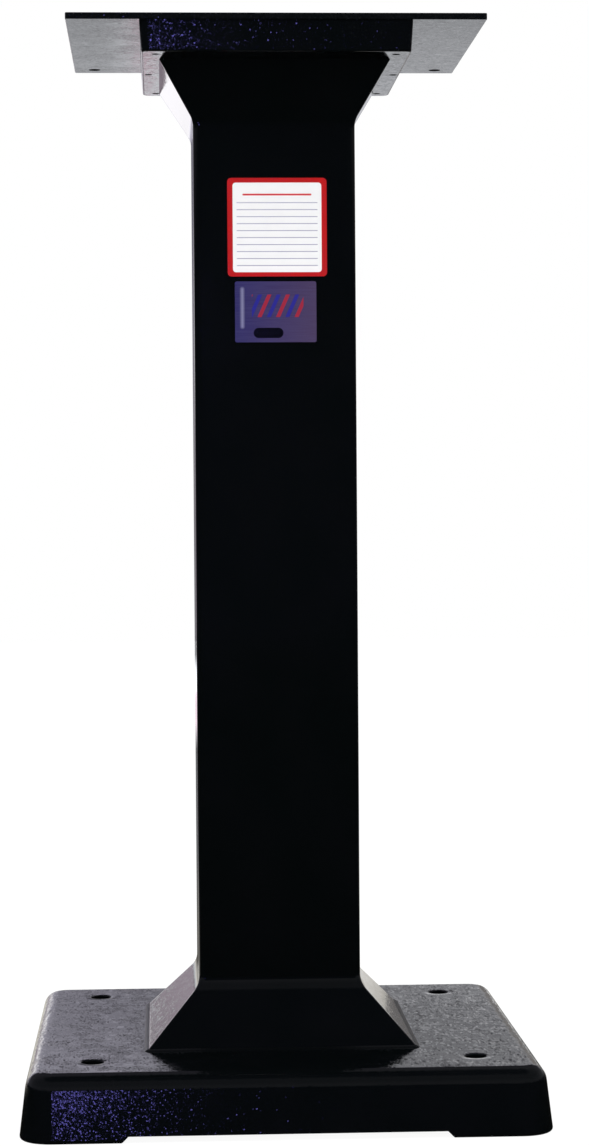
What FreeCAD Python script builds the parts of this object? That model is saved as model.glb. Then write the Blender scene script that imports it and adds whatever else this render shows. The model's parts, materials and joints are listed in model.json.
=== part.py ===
import FreeCAD, Part
import math
import os

# Bench grinder stand: a cast iron foot, a square column welded up from four bent plates,
# a cast iron head and a flat mounting plate.  Millimetres, +Z up, front is -Y.
# The origin is the centre of the footprint, on the floor.

Vector = FreeCAD.Vector
UP = Vector(0, 0, 1)

# ---- overall -------------------------------------------------------------------------
overall_height = 813.0
fit_gap = 0.1              # clearance all round between a piece and what it fits in

# ---- cast iron foot ------------------------------------------------------------------
base_width = 385.0         # where the sloping sides would meet the floor
base_depth = 385.0
base_height = 48.1
base_draft = 7.0           # degrees, sides lean in towards the top
base_corner_radius = 24.0
base_shoulder_radius = 12.0
base_toe_radius = 2.5
base_wall = 9.0
base_deck_thickness = 9.0
pad_length = 73.5          # each corner pad, along both sides
pad_height = 5.0
seat_width = 214.0         # thick square under the column, cast into the deck
seat_thickness = 14.0
base_rib_thickness = 8.0
base_rib_lift = 14.0       # ribs stop this far above the floor
anchor_inset_x = 52.5      # from the base's edge at the floor to the hole's axis
anchor_inset_y = 54.5
anchor_hole_diameter = 15.9
anchor_boss_diameter = 42.0
anchor_rim_chamfer = 0.8

# ---- column: four bent plates --------------------------------------------------------
column_width = 122.5
column_wall = 4.8
column_corner_radius = 5.0   # ground round on the corner welds
flare_corner_radius = 1.5
corner_groove = 5.0          # the plates stop this far short of the corner
bend_radius = 16.0           # on the outside of the column, where it opens into a flare
lower_flare_height = 42.4
lower_flare_reach = 39.6     # how far each side spreads beyond the column
upper_flare_height = 41.6
upper_flare_reach = 24.9

# ---- flanges welded into the column's ends -------------------------------------------
foot_flange_thickness = 10.0
head_flange_thickness = 10.0
flange_weld_depth = 7.0      # the welds fill the groove round each flange this deep
flange_weld_recess = 0.3     # and are ground just under the flange's face
foot_bead_leg = 2.0          # sealing bead round the flare's foot, along the deck
foot_bead_height = 1.6

# ---- cast iron head ------------------------------------------------------------------
head_width = 201.4           # at the top
head_depth = 218.6
head_height = 22.9
head_draft = 3.5             # degrees, sides lean in towards the bottom
head_corner_radius = 6.0
head_lip_radius = 1.5
head_wall = 9.0
head_bolt_headroom = 2.3     # between the bolts' heads and the mounting plate
head_front_setback = 1.5     # behind the plate's front edge
head_boss_diameter = 19.0
head_hole_inset_x = 10.5     # corner holes, from the head's bottom edges
head_hole_inset_y = 13.5
head_side_hole_inset = 5.0   # middle holes, from the side edges
side_boss_diameter = 14.0

# ---- mounting plate ------------------------------------------------------------------
plate_width = 309.2
plate_depth = 246.0
plate_thickness = 4.8
plate_corner_radius = 1.5
plate_edge_break = 0.4
plate_hole_diameter = 9.5
plate_hole_inset_x = 16.2
plate_hole_inset_y = 15.8

# ---- fasteners -----------------------------------------------------------------------
foot_bolt = {"shank": 12.0, "across_flats": 19.0, "head": 7.5, "tip": 2.0}
head_bolt = {"shank": 10.0, "across_flats": 16.0, "head": 6.4, "tip": 2.0}
foot_washer = {"outer": 24.0, "thickness": 2.5}
head_washer = {"outer": 20.0, "thickness": 2.0}
foot_lock = {"outer": 20.0, "thickness": 3.0}
head_lock = {"outer": 17.0, "thickness": 2.2}
lock_washer_slit = 1.6
bolt_hole_clearance = 1.5    # on the diameter of a plain hole
foot_bolt_inset = 17.0       # from the flange's edge
head_bolt_inset = 17.0
plate_screw = {"shank": 5.6, "head": 11.0, "length": 16.0, "socket": 4.0, "socket_depth": 2.2}

# ---- plates on the column's front ----------------------------------------------------
card_width = 75.0
card_height = 74.2
card_thickness = 0.4
card_corner_radius = 3.0
card_drop = 85.3             # from the head's underside to the card's top edge
card_offset = 1.8            # to the right of the column's middle
foil_width = 61.5
foil_height = 45.9
foil_thickness = 0.5
foil_corner_radius = 1.5
foil_gap = 3.7               # below the card
foil_offset = 0.3

# ---- levels and places that follow ---------------------------------------------------
plate_bottom = overall_height - plate_thickness
head_bottom = plate_bottom - head_height
deck_underside = base_height - base_deck_thickness
seat_underside = base_height - seat_thickness
column_half = column_width / 2
lower_bend_level = base_height + lower_flare_height
upper_bend_level = head_bottom - upper_flare_height
foot_half = column_half + lower_flare_reach
top_half = column_half + upper_flare_reach
head_bolt_stack = head_bolt["head"] + head_washer["thickness"] + head_lock["thickness"]
head_floor = head_height - head_bolt_stack - head_bolt_headroom
plate_front = -plate_depth / 2
head_top_front = plate_front + head_front_setback
head_middle_y = head_top_front + head_depth / 2
head_lean = head_height * math.tan(math.radians(head_draft))
foot_wall = column_wall * math.hypot(lower_flare_reach, lower_flare_height) / lower_flare_height
top_wall = column_wall * math.hypot(upper_flare_reach, upper_flare_height) / upper_flare_height
anchor_x = base_width / 2 - anchor_inset_x
anchor_y = base_depth / 2 - anchor_inset_y
plate_hole_x = plate_width / 2 - plate_hole_inset_x
plate_hole_y = plate_depth / 2 - plate_hole_inset_y


def outer_half_at(level):
    """Distance from the axis to the outside of the column's sides, taking bends as sharp."""
    below = max(lower_bend_level - level, 0) / lower_flare_height * lower_flare_reach
    above = max(level - upper_bend_level, 0) / upper_flare_height * upper_flare_reach
    return column_half + below + above


foot_flange_top = base_height + foot_flange_thickness
head_flange_bottom = head_bottom - head_flange_thickness
foot_flange_half = outer_half_at(foot_flange_top) - foot_wall - fit_gap
head_flange_half = outer_half_at(head_flange_bottom) - top_wall - fit_gap
foot_bolt_place = foot_flange_half - foot_bolt_inset
head_bolt_place = head_flange_half - head_bolt_inset


# ---- plain shapes --------------------------------------------------------------------
def rounded_rectangle(width, depth, radius, level, middle=(0.0, 0.0)):
    """A closed wire in a level plane, with arcs at its four corners."""
    edges = []
    x_inner = width / 2 - radius
    y_inner = depth / 2 - radius
    arcs = []
    for quarter, (sx, sy) in enumerate([(1, 1), (-1, 1), (-1, -1), (1, -1)]):
        centre = Vector(middle[0] + sx * x_inner, middle[1] + sy * y_inner, level)
        angles = [math.radians(90 * quarter + 45 * step) for step in (0, 1, 2)]
        arcs.append([centre + Vector(math.cos(a), math.sin(a), 0) * radius for a in angles])
    for arc, following in zip(arcs, arcs[1:] + arcs[:1]):
        edges.append(Part.Arc(*arc).toShape())
        edges.append(Part.makeLine(arc[-1], following[0]))
    return Part.Wire(edges)


def drafted_block(low, high):
    """A solid between two rounded rectangles, each (width, depth, radius, level, middle)."""
    return Part.makeLoft([rounded_rectangle(*low), rounded_rectangle(*high)], True, True)


def square_frustum(low_half, low_level, high_half, high_level):
    """A sharp-cornered square pyramid stump round the column's axis."""
    wires = []
    for half, level in ((low_half, low_level), (high_half, high_level)):
        corners = [Vector(sx * half, sy * half, level)
                   for sx, sy in ((1, 1), (-1, 1), (-1, -1), (1, -1))]
        wires.append(Part.makePolygon(corners + corners[:1]))
    return Part.makeLoft(wires, True, True)


def block(x0, x1, y0, y1, z0, z1):
    return Part.makeBox(x1 - x0, y1 - y0, z1 - z0, Vector(x0, y0, z0))


def upright_cylinder(diameter, x, y, z0, z1):
    return Part.makeCylinder(diameter / 2, z1 - z0, Vector(x, y, z0), UP)


def turned(shape, degrees):
    copy = shape.copy()
    copy.rotate(Vector(0, 0, 0), UP, degrees)
    return copy


def moved(shape, x, y, z=0.0):
    copy = shape.copy()
    copy.translate(Vector(x, y, z))
    return copy


def edges_at_level(shape, level):
    """The edges that lie wholly at one level."""
    found = []
    for edge in shape.Edges:
        if abs(edge.BoundBox.ZMin - level) < 1e-4 and abs(edge.BoundBox.ZMax - level) < 1e-4:
            found.append(edge)
    return found


def four_corners(x, y):
    return [(sx * x, sy * y) for sx in (-1, 1) for sy in (-1, 1)]


def save(name, shapes):
    """Write one sub-part: one solid, or a group of equal ones that stay separate."""
    solids = []
    for shape in shapes:
        solids += shape.removeSplitter().Solids
    os.makedirs("parts", exist_ok=True)
    body = solids[0] if len(solids) == 1 else Part.makeCompound(solids)
    body.exportStep("parts/" + name + ".step")
    print(f"{name}: {len(solids)} solid(s), {body.Volume / 1000:.1f} cm3, valid {body.isValid()}")


# ---- cast iron foot ------------------------------------------------------------------
def base_section(level, inward=0.0):
    """Width, depth and corner radius of the foot's outside at one level."""
    lean = level * math.tan(math.radians(base_draft)) + inward
    radius = max(base_corner_radius - lean, 1.0)
    return base_width - 2 * lean, base_depth - 2 * lean, radius, level


def make_base_outside():
    top = base_section(base_height)
    outside = drafted_block(base_section(0), top)
    shoulder = min(base_shoulder_radius, top[2])
    outside = outside.makeFillet(shoulder, edges_at_level(outside, base_height))
    return outside.makeFillet(base_toe_radius, edges_at_level(outside, 0))


def make_pad_relief():
    """What is taken away between the corner pads, right across both ways."""
    reach = max(base_width, base_depth)
    cuts = []
    for along_x, size in ((True, base_width), (False, base_depth)):
        half = size / 2 - pad_length
        profile = [(-half, -1), (half, -1), (half, 0), (half - pad_height, pad_height),
                   (-half + pad_height, pad_height), (-half, 0), (-half, -1)]
        if along_x:
            points = [Vector(a, -reach, z) for a, z in profile]
            sweep = Vector(0, 2 * reach, 0)
        else:
            points = [Vector(-reach, a, z) for a, z in profile]
            sweep = Vector(2 * reach, 0, 0)
        cuts.append(Part.Face(Part.makePolygon(points)).extrude(sweep))
    return cuts[0].fuse(cuts[1])


def make_base_ribs():
    """Ribs under the deck, from the seat to the walls and, past the bosses, to the corners."""
    directions = [(1, 0), (-1, 0), (0, 1), (0, -1)] + four_corners(anchor_x, anchor_y)
    half_rib = base_rib_thickness / 2
    reach = max(base_width, base_depth)
    ribs = []
    for x, y in directions:
        rib = block(0, reach, -half_rib, half_rib, base_rib_lift, base_height)
        ribs.append(turned(rib, math.degrees(math.atan2(y, x))))
    half_seat = seat_width / 2
    under_seat = block(-half_seat, half_seat, -half_seat, half_seat, 0, seat_underside)
    return ribs[0].multiFuse(ribs[1:]).cut(under_seat)


def make_base_filling():
    """What stays solid inside the foot: the column's seat, the anchor bosses and the ribs."""
    half_seat = seat_width / 2
    seat = block(-half_seat, half_seat, -half_seat, half_seat, seat_underside, base_height)
    bosses = [upright_cylinder(anchor_boss_diameter, x, y, 0, base_height)
              for x, y in four_corners(anchor_x, anchor_y)]
    return seat.multiFuse(bosses + [make_base_ribs()])


def make_base_casting():
    cavity = drafted_block(base_section(-1, base_wall), base_section(deck_underside, base_wall))
    casting = make_base_outside().cut(cavity.cut(make_base_filling())).cut(make_pad_relief())
    for x, y in four_corners(anchor_x, anchor_y):
        casting = casting.cut(upright_cylinder(anchor_hole_diameter, x, y, -1, base_height + 1))
        rim = Part.makeCone(anchor_hole_diameter / 2, anchor_hole_diameter / 2 + anchor_rim_chamfer,
                            anchor_rim_chamfer, Vector(x, y, base_height - anchor_rim_chamfer), UP)
        casting = casting.cut(rim)
    hole = foot_bolt["shank"] + bolt_hole_clearance
    for x, y in four_corners(foot_bolt_place, foot_bolt_place):
        casting = casting.cut(upright_cylinder(hole, x, y, 0, base_height + 1))
    return casting


# ---- column --------------------------------------------------------------------------
def offset_point(before, corner, after, distance):
    """Where a bent line's corner goes when the whole line moves left by a distance."""
    normals = []
    for start, end in ((before, corner), (corner, after)):
        run = (end - start).normalize()
        normals.append(Vector(-run.z, 0, run.x))
    middle = (normals[0] + normals[1]).normalize()
    return corner + middle * (distance / middle.dot(normals[0]))


def bent_line(points, radius):
    """Straight runs joined by arcs that touch both, as edges in the XZ plane."""
    edges = []
    start = points[0]
    for before, corner, after in zip(points, points[1:], points[2:]):
        inward = (before - corner).normalize()
        outward = (after - corner).normalize()
        half_turn = (math.pi - inward.getAngle(outward)) / 2
        setback = radius * math.tan(half_turn)
        to_centre = (inward + outward).normalize()
        middle = corner + to_centre * (radius / math.cos(half_turn) - radius)
        arc_start = corner + inward * setback
        arc_end = corner + outward * setback
        edges.append(Part.makeLine(start, arc_start))
        edges.append(Part.Arc(arc_start, middle, arc_end).toShape())
        start = arc_end
    edges.append(Part.makeLine(start, points[-1]))
    return edges


def make_side_slab():
    """The plate that faces +X, over-long at both ends: its corners are cut off it later."""
    outer = [Vector(foot_half, 0, base_height), Vector(column_half, 0, lower_bend_level),
             Vector(column_half, 0, upper_bend_level), Vector(top_half, 0, head_bottom)]
    inner = [Vector(foot_half - foot_wall, 0, base_height),
             offset_point(outer[0], outer[1], outer[2], column_wall),
             offset_point(outer[1], outer[2], outer[3], column_wall),
             Vector(top_half - top_wall, 0, head_bottom)]
    edges = bent_line(outer, bend_radius)
    edges.append(Part.makeLine(outer[-1], inner[-1]))
    edges += bent_line(inner[::-1], bend_radius + column_wall)
    edges.append(Part.makeLine(inner[0], outer[0]))
    slab = Part.Face(Part.Wire(edges)).extrude(Vector(0, 4 * foot_half, 0))
    slab.translate(Vector(0, -2 * foot_half, 0))
    return slab


def wedge(groove):
    """The quarter of space round +X between the diagonals, less a groove along each."""
    reach = 2 * foot_half
    corners = [Vector(groove, 0, 0), Vector(groove + reach, reach, 0),
               Vector(groove + reach, -reach, 0)]
    return Part.Face(Part.makePolygon(corners + corners[:1])).extrude(UP * overall_height)


def make_corner_weld(slab):
    """The weld between the +X and the +Y plates, ground round on the outside.

    The round is full size along the column and narrows through each bend to the flares.
    """
    mitred = slab.common(wedge(0))
    corner = mitred.fuse(turned(mitred, 90)).removeSplitter()
    ridge = []
    for number, edge in enumerate(corner.Edges, 1):
        middle = edge.valueAt((edge.FirstParameter + edge.LastParameter) / 2)
        on_diagonal = abs(middle.x - middle.y) < 1e-4 and edge.BoundBox.ZLength > 1
        if not on_diagonal or middle.x < outer_half_at(middle.z) - column_wall / 2:
            continue
        radii = []
        for parameter in (edge.FirstParameter, edge.LastParameter):
            level = edge.valueAt(parameter).z
            straight = lower_bend_level < level < upper_bend_level
            radii.append(column_corner_radius if straight else flare_corner_radius)
        ridge.append((number, radii[0], radii[1]))
    document = FreeCAD.newDocument("corner")
    source = document.addObject("Part::Feature", "source")
    source.Shape = corner
    rounding = document.addObject("Part::Fillet", "rounding")
    rounding.Base = source
    rounding.Edges = ridge
    document.recompute()
    rounded = rounding.Shape.copy()
    FreeCAD.closeDocument("corner")
    weld = rounded.cut(wedge(corner_groove)).cut(turned(wedge(corner_groove), 90))
    return weld.common(block(0, 2 * foot_half, 0, 2 * foot_half, 0, overall_height))


# ---- flanges, their welds and the bead on the deck -----------------------------------
def make_flange(half, low, high, bolt, place):
    """A square plate inside a flare, tapped for its four bolts."""
    flange = block(-half, half, -half, half, low, high)
    for x, y in four_corners(place, place):
        flange = flange.cut(upright_cylinder(bolt["shank"] + 2 * fit_gap, x, y, low - 1, high + 1))
    return flange


def make_groove_weld(half, low, high, inside_half_at):
    """What fills the groove between a flange's edge and the flare round it."""
    filled = square_frustum(inside_half_at(low), low, inside_half_at(high), high)
    return filled.cut(block(-half, half, -half, half, low - 1, high + 1))


def foot_inside_half_at(level):
    return outer_half_at(level) - foot_wall


def top_inside_half_at(level):
    return outer_half_at(level) - top_wall


def make_foot_bead():
    """A small three-cornered bead that closes the joint between the flare and the deck."""
    crest = base_height + foot_bead_height
    bead = square_frustum(foot_half + foot_bead_leg, base_height, outer_half_at(crest), crest)
    below = base_height - foot_bead_height
    above = crest + foot_bead_height
    return bead.cut(square_frustum(outer_half_at(below), below, outer_half_at(above), above))


# ---- cast iron head ------------------------------------------------------------------
def head_screw_places():
    """Four corner holes and one in the middle of each side, with the size of their bosses."""
    x = head_width / 2 - head_lean - head_hole_inset_x
    y = head_depth / 2 - head_lean - head_hole_inset_y
    side_x = head_width / 2 - head_lean - head_side_hole_inset
    places = [(cx, head_middle_y + cy, head_boss_diameter) for cx, cy in four_corners(x, y)]
    return places + [(side * side_x, head_middle_y, side_boss_diameter) for side in (-1, 1)]


def make_head_casting():
    middle = (0.0, head_middle_y)
    low = (head_width - 2 * head_lean, head_depth - 2 * head_lean)
    outside = drafted_block((*low, head_corner_radius, head_bottom, middle),
                            (head_width, head_depth, head_corner_radius, plate_bottom, middle))
    outside = outside.makeFillet(head_lip_radius, edges_at_level(outside, head_bottom))
    floor = head_bottom + head_floor
    inside = rounded_rectangle(low[0] - 2 * head_wall, low[1] - 2 * head_wall,
                               head_corner_radius, floor, middle)
    cavity = Part.Face(inside).extrude(UP * (head_height - head_floor + 1))
    for x, y, diameter in head_screw_places():
        cavity = cavity.cut(upright_cylinder(diameter, x, y, head_bottom, overall_height))
    casting = outside.cut(cavity)
    for x, y, diameter in head_screw_places():
        hole = plate_screw["shank"] + 2 * fit_gap
        casting = casting.cut(upright_cylinder(hole, x, y, head_bottom - 1, overall_height))
    for x, y in four_corners(head_bolt_place, head_bolt_place):
        hole = head_bolt["shank"] + bolt_hole_clearance
        casting = casting.cut(upright_cylinder(hole, x, y, head_bottom - 1, overall_height))
    return casting


# ---- mounting plate and its screws ---------------------------------------------------
def countersunk(across, shank, top, bottom):
    """A flat-head screw's outline: a right-angled cone over a shank."""
    cone_height = (across - shank) / 2
    cone = Part.makeCone(shank / 2, across / 2, cone_height, Vector(0, 0, top - cone_height), UP)
    return cone.fuse(upright_cylinder(shank, 0, 0, bottom, top - cone_height))


def make_top_plate():
    plate = Part.Face(rounded_rectangle(plate_width, plate_depth, plate_corner_radius,
                                        plate_bottom)).extrude(UP * plate_thickness)
    edges = edges_at_level(plate, plate_bottom) + edges_at_level(plate, overall_height)
    plate = plate.makeChamfer(plate_edge_break, edges)
    seat = countersunk(plate_screw["head"] + 2 * fit_gap, plate_screw["shank"] + 2 * fit_gap,
                       overall_height, plate_bottom - 1)
    for x, y, _ in head_screw_places():
        plate = plate.cut(moved(seat, x, y))
    for side in (-1, 1):
        plate = plate.cut(upright_cylinder(plate_hole_diameter, side * plate_hole_x, plate_hole_y,
                                           plate_bottom - 1, overall_height + 1))
    return plate


def hexagon(across_flats, low, high):
    corner = across_flats / math.sqrt(3)
    points = [Vector(corner * math.cos(math.radians(60 * i)), corner * math.sin(math.radians(60 * i)),
                     low) for i in range(7)]
    return Part.Face(Part.makePolygon(points)).extrude(UP * (high - low))


def make_plate_screws():
    screw = countersunk(plate_screw["head"], plate_screw["shank"], overall_height,
                        overall_height - plate_screw["length"])
    socket = hexagon(plate_screw["socket"], overall_height - plate_screw["socket_depth"],
                     overall_height + 1)
    screw = screw.cut(socket)
    return [moved(screw, x, y) for x, y, _ in head_screw_places()]


# ---- bolts and washers ---------------------------------------------------------------
def make_bolt(bolt, grip):
    """A hexagon bolt that stands on its head at the origin and points up."""
    head = hexagon(bolt["across_flats"], 0, bolt["head"])
    spread = bolt["head"] / math.tan(math.radians(30))
    shaping = Part.makeCone(bolt["across_flats"] / 2, bolt["across_flats"] / 2 + spread, bolt["head"])
    head = head.common(shaping)
    end = bolt["head"] + grip + bolt["tip"]
    point = bolt["shank"] * 0.12
    shank = upright_cylinder(bolt["shank"], 0, 0, bolt["head"] - 1, end - point)
    tip = Part.makeCone(bolt["shank"] / 2, bolt["shank"] / 2 - point, point,
                        Vector(0, 0, end - point), UP)
    return head.fuse(shank).fuse(tip)


def make_washer(outer, hole, thickness, slit=0.0):
    washer = upright_cylinder(outer, 0, 0, 0, thickness)
    washer = washer.cut(upright_cylinder(hole, 0, 0, -1, thickness + 1))
    if slit:
        washer = washer.cut(block(0, outer, -slit / 2, slit / 2, -1, thickness + 1))
    return washer


def make_bolt_stack(bolt, washer, lock, clamped, seat_level, downward, place):
    """Bolts, flat washers and lock washers for one joint, as three lists of solids.

    The flat washer lies on the seat, the lock washer on it, and the bolt's head on that.
    """
    stack = washer["thickness"] + lock["thickness"]
    pieces = [(make_bolt(bolt, clamped + stack), -stack - bolt["head"]),
              (make_washer(washer["outer"], bolt["shank"] + 1.0, washer["thickness"]),
               -washer["thickness"]),
              (make_washer(lock["outer"], bolt["shank"] + 0.4, lock["thickness"],
                           lock_washer_slit), -stack)]
    groups = []
    for piece, level in pieces:
        one = moved(piece, 0, 0, level)
        if downward:
            one.rotate(Vector(0, 0, 0), Vector(1, 0, 0), 180)
        groups.append([moved(one, x, y, seat_level) for x, y in four_corners(place, place)])
    return groups


# ---- flat plates on the column's front -----------------------------------------------
def make_front_plate(width, height, thickness, radius, offset, top):
    """A thin plate with round corners, lying on the column's front face."""
    outline = rounded_rectangle(width, height, radius, 0)
    plate = Part.Face(outline).extrude(UP * thickness)
    plate.rotate(Vector(0, 0, 0), Vector(1, 0, 0), 90)
    return moved(plate, offset, -column_half, top - height / 2)


# ---- build ---------------------------------------------------------------------------
save("base_casting", [make_base_casting()])

side_slab = make_side_slab()
side_plate = side_slab.common(wedge(corner_groove))
for name, degrees in (("right", 0), ("back", 90), ("left", 180), ("front", 270)):
    save("column_" + name + "_plate", [turned(side_plate, degrees)])
corner_weld = make_corner_weld(side_slab)
save("column_corner_welds", [turned(corner_weld, degrees) for degrees in (0, 90, 180, 270)])

save("foot_flange", [make_flange(foot_flange_half, base_height, foot_flange_top,
                                 foot_bolt, foot_bolt_place)])
save("foot_flange_weld", [make_groove_weld(foot_flange_half, base_height + flange_weld_recess,
                                           base_height + flange_weld_depth, foot_inside_half_at)])
save("foot_bead", [make_foot_bead()])
save("head_flange", [make_flange(head_flange_half, head_flange_bottom, head_bottom,
                                 head_bolt, head_bolt_place)])
save("head_flange_weld", [make_groove_weld(head_flange_half, head_bottom - flange_weld_depth,
                                           head_bottom - flange_weld_recess, top_inside_half_at)])

foot_stack = make_bolt_stack(foot_bolt, foot_washer, foot_lock, seat_thickness
                             + foot_flange_thickness, seat_underside, False, foot_bolt_place)
for name, solids in zip(("foot_bolts", "foot_flat_washers", "foot_lock_washers"), foot_stack):
    save(name, solids)
head_stack = make_bolt_stack(head_bolt, head_washer, head_lock, head_floor
                             + head_flange_thickness, head_bottom + head_floor, True,
                             head_bolt_place)
for name, solids in zip(("head_bolts", "head_flat_washers", "head_lock_washers"), head_stack):
    save(name, solids)

save("head_casting", [make_head_casting()])
save("top_plate", [make_top_plate()])
save("plate_screws", make_plate_screws())

card_top = head_bottom - card_drop
save("notice_card", [make_front_plate(card_width, card_height, card_thickness,
                                      card_corner_radius, card_offset, card_top)])
save("foil_plate", [make_front_plate(foil_width, foil_height, foil_thickness,
                                     foil_corner_radius, foil_offset,
                                     card_top - card_height - foil_gap)])
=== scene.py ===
# %% [markdown]
# # A bench grinder stand
# The stand is a heavy workshop pedestal: a cast iron foot, a square column welded from four
# bent plates, a shallow cast head and a flat mounting plate, all under glossy black paint.
# The packed model is the frame of the scene. It gives the size and place of every piece, and
# this script gives the pieces their finish and makes the ones whose surface needs more care.

# %% Load the packed frame
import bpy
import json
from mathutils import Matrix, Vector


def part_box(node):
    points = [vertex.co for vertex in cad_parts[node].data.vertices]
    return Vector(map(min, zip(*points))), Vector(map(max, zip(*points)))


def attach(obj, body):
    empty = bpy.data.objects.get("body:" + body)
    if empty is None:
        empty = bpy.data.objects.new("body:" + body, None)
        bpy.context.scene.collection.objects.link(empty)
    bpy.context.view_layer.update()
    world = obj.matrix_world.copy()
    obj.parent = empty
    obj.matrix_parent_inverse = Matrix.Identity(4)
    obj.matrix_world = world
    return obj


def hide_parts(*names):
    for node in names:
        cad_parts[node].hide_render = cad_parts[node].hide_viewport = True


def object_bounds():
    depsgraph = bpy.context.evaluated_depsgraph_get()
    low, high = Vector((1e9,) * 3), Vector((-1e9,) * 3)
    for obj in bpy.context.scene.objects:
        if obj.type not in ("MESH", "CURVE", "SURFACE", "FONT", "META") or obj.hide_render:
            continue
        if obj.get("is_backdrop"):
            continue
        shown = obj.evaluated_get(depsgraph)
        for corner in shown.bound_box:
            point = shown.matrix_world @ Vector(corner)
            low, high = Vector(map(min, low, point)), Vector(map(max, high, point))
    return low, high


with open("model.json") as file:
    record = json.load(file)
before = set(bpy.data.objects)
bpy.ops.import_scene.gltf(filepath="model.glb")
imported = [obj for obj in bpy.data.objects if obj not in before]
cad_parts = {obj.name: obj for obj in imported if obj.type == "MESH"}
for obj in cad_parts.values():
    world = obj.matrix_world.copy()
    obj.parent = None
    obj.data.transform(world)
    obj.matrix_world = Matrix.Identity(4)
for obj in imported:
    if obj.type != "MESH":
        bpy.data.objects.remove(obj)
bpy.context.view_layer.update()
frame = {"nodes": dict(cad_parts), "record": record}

# %% [markdown]
# ## Tools and units
# `bpy` is Blender itself, `bmesh` edits meshes and `mathutils` has vectors and turns. Blender
# counts in metres, so one millimetre gets a name of its own. The Standard view shows each
# colour as it is written, without a film curve over it.

# %% Bring in the rest
import json
import math
from collections import namedtuple

import bmesh
import bpy
from mathutils import Matrix, Vector

scene = bpy.context.scene
scene.view_settings.view_transform = "Standard"
mm = 0.001
print("Blender", bpy.app.version_string, "with the view", scene.view_settings.view_transform)

# %% [markdown]
# ## Camera
# The stand is seen from a little over two metres away, from about half its own height and
# slightly to the left of its middle, through a long lens. That keeps the column's sides
# nearly parallel and lets the eye look along the deck and up at the plate's underside.
# The camera is set by its place and three small turns, so each can be changed by itself.

# %% Set the camera
picture_height = 1147            # pixels, on the picture's long side
focal_length = 2772.5            # in the same pixels
sensor_size = 36.0               # millimetres, along the picture's long side
camera_place = Vector((-0.0881, -2.1553, 0.4422))
turn_right = 0.0483              # radians, from straight ahead
tilt_down = 0.0194
roll = -0.0069

camera_data = bpy.data.cameras.new("camera")
camera_data.sensor_width = sensor_size
camera_data.lens = focal_length / picture_height * sensor_size
camera = bpy.data.objects.new("camera", camera_data)
aim = (Matrix.Rotation(-turn_right, 4, "Z") @ Matrix.Rotation(math.pi / 2 - tilt_down, 4, "X")
       @ Matrix.Rotation(roll, 4, "Z"))
camera.matrix_world = Matrix.Translation(camera_place) @ aim
scene.collection.objects.link(camera)
scene.camera = camera
print("lens:", round(camera_data.lens, 2), "mm")

# %% [markdown]
# ## Writing nodes as sums
# Materials and geometry trees are both made of nodes, and a long row of Math nodes is hard
# to read. `Wire` stands for one output socket. Adding or multiplying wires adds the Math
# node that does it, so a pattern can be written the way it would be on paper. `Tree` has the
# one method that makes any other node: its type, its settings, then its sockets. Points and
# directions have a method too, because a Math node only holds one number.

# %% The two helpers for node trees
class Wire:
    """One output socket. Arithmetic on it adds Math nodes to its tree."""

    def __init__(self, tree, socket):
        self.tree = tree
        self.socket = socket

    def also(self, output):
        """Another output of the same node."""
        return Wire(self.tree, self.socket.node.outputs[output])

    def math(self, operation, *values):
        return self.tree.node("ShaderNodeMath", {"operation": operation}, dict(enumerate(values)))

    def __add__(self, other):
        return self.math("ADD", self, other)

    def __sub__(self, other):
        return self.math("SUBTRACT", self, other)

    def __rsub__(self, other):
        return self.math("SUBTRACT", other, self)

    def __mul__(self, other):
        return self.math("MULTIPLY", self, other)

    def __truediv__(self, other):
        return self.math("DIVIDE", self, other)

    __radd__ = __add__
    __rmul__ = __mul__

    def above(self, limit):
        return self.math("GREATER_THAN", self, limit)

    def below(self, limit):
        return self.math("LESS_THAN", self, limit)

    def at_least(self, limit):
        return self.math("MAXIMUM", self, limit)

    def at_most(self, limit):
        return self.math("MINIMUM", self, limit)

    def size(self):
        return self.math("ABSOLUTE", self)

    def root(self):
        return self.math("SQRT", self)

    def whole(self):
        return self.math("FLOOR", self)

    def fraction(self):
        return self.math("FRACT", self)

    def sine(self):
        return self.math("SINE", self)

    def cosine(self):
        return self.math("COSINE", self)

    def ramp(self, start, end):
        """0 before start, 1 after end, straight between."""
        return self.tree.node("ShaderNodeMapRange", {}, {0: self, 1: start, 2: end})

    def between(self, start, full, fade, end):
        """0 before start, 1 from full to fade, 0 after end."""
        return self.ramp(start, full) * (1 - self.ramp(fade, end))

    def close_to(self, middle, inner, outer):
        """1 within inner of the middle, 0 farther off than outer."""
        return 1 - (self - middle).size().ramp(inner, outer)


class Tree:
    """A node tree, with one way to add a node."""

    def __init__(self, tree):
        self.tree = tree

    def node(self, kind, settings=None, sockets=None, output=0):
        made = self.tree.nodes.new(kind)
        for name, value in (settings or {}).items():
            setattr(made, name, value)
        for key, value in (sockets or {}).items():
            if isinstance(value, Wire):
                self.tree.links.new(value.socket, made.inputs[key])
            else:
                made.inputs[key].default_value = value
        return Wire(self, made.outputs[output]) if len(made.outputs) else None

    def axes(self, vector):
        """The three numbers of a vector."""
        x = self.node("ShaderNodeSeparateXYZ", {}, {0: vector})
        return x, x.also("Y"), x.also("Z")

    def point(self, x, y, z):
        return self.node("ShaderNodeCombineXYZ", {}, {0: x, 1: y, 2: z})

    def vector(self, operation, *values, **named):
        """Vector arithmetic. The values come first, then a scale if there is one."""
        return self.node("ShaderNodeVectorMath", {"operation": operation},
                         {**dict(enumerate(values)), **named})

    def mix(self, share, first, second):
        """From the first colour to the second as share goes from 0 to 1."""
        return self.node("ShaderNodeMix", {"data_type": "RGBA", "clamp_factor": False},
                         {0: share, 6: first, 7: second}, output=2)


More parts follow.
